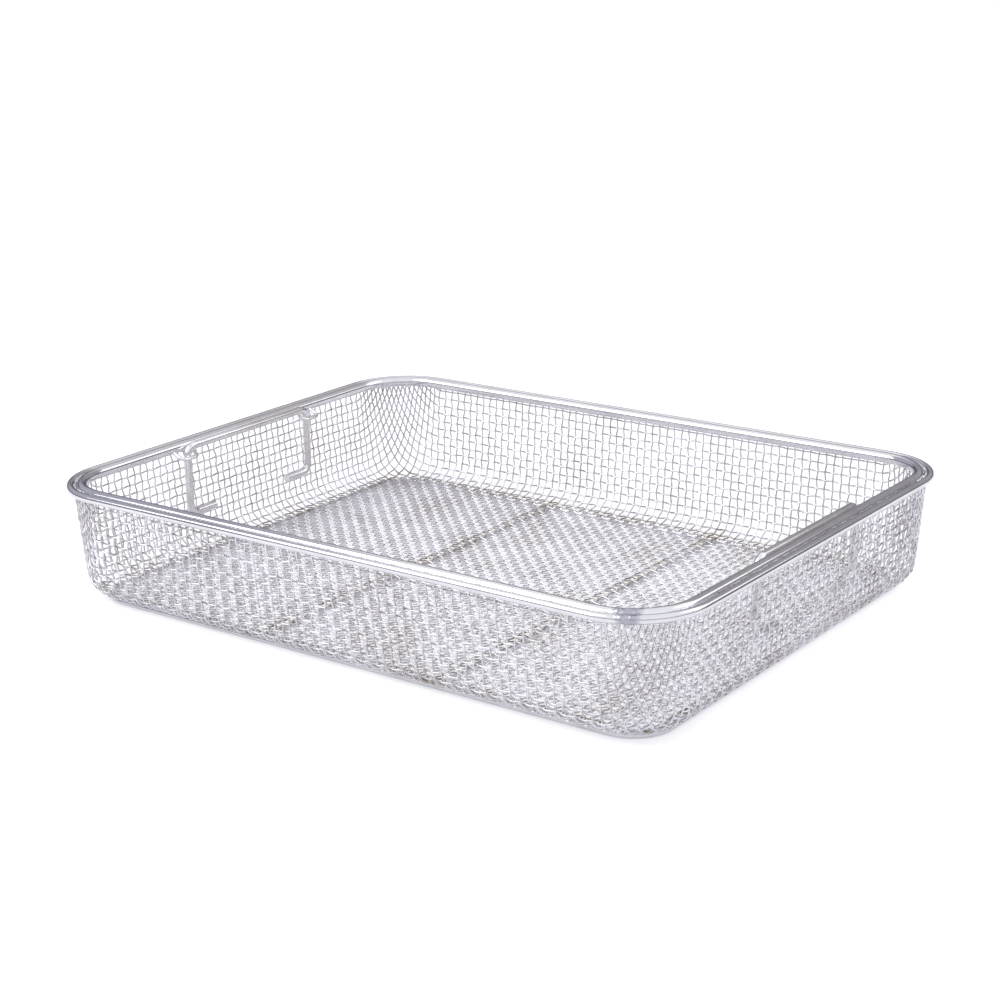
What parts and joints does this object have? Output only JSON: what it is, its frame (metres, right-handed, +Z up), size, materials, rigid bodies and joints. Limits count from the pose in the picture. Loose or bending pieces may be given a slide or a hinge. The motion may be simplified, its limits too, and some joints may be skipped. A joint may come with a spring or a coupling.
{
  "type": "autoclave basket",
  "caption": "Low rectangular woven-wire basket with rounded corners, a twin-rod rim, a raised base ring and two drop handles, for holding instruments through cleaning and steam sterilising",
  "frame": {"origin": "middle of the footprint, on the surface the basket stands on", "axes": "+X along the basket's length towards the right end, +Y across it towards the back long side, +Z up"},
  "size_m": [0.3948, 0.3068, 0.0675],
  "materials": {
    "woven_wire": "electropolished woven stainless wire, bright with grey gaps",
    "polished_rod": "electropolished stainless rod",
    "handle_rod": "electropolished stainless rod",
    "eye_wire": "electropolished stainless wire"
  },
  "bodies": {
    "basket": {"mesh_floor": "woven_wire", "mesh_side_front": "woven_wire", "mesh_side_back": "woven_wire", "mesh_end_left": "woven_wire", "mesh_end_right": "woven_wire", "mesh_corner_front_left": "woven_wire", "mesh_corner_front_right": "woven_wire", "mesh_corner_back_left": "woven_wire", "mesh_corner_back_right": "woven_wire", "rim_inner_rod": "polished_rod", "rim_outer_rod": "polished_rod", "base_ring": "polished_rod", "floor_bar_left": "polished_rod", "floor_bar_right": "polished_rod", "eye_left_front": "eye_wire", "eye_left_back": "eye_wire", "eye_right_front": "eye_wire", "eye_right_back": "eye_wire"},
    "handle_left_body": {"handle_left": "handle_rod"},
    "handle_right_body": {"handle_right": "handle_rod"}
  },
  "joints": [
    {"name": "handle_left_lift", "type": "slide", "parent": "basket", "child": "handle_left_body", "axis": [0, 0, 1], "range_m": [0, 0.031]},
    {"name": "handle_right_lift", "type": "slide", "parent": "basket", "child": "handle_right_body", "axis": [0, 0, 1], "range_m": [0, 0.031]}
  ]
}
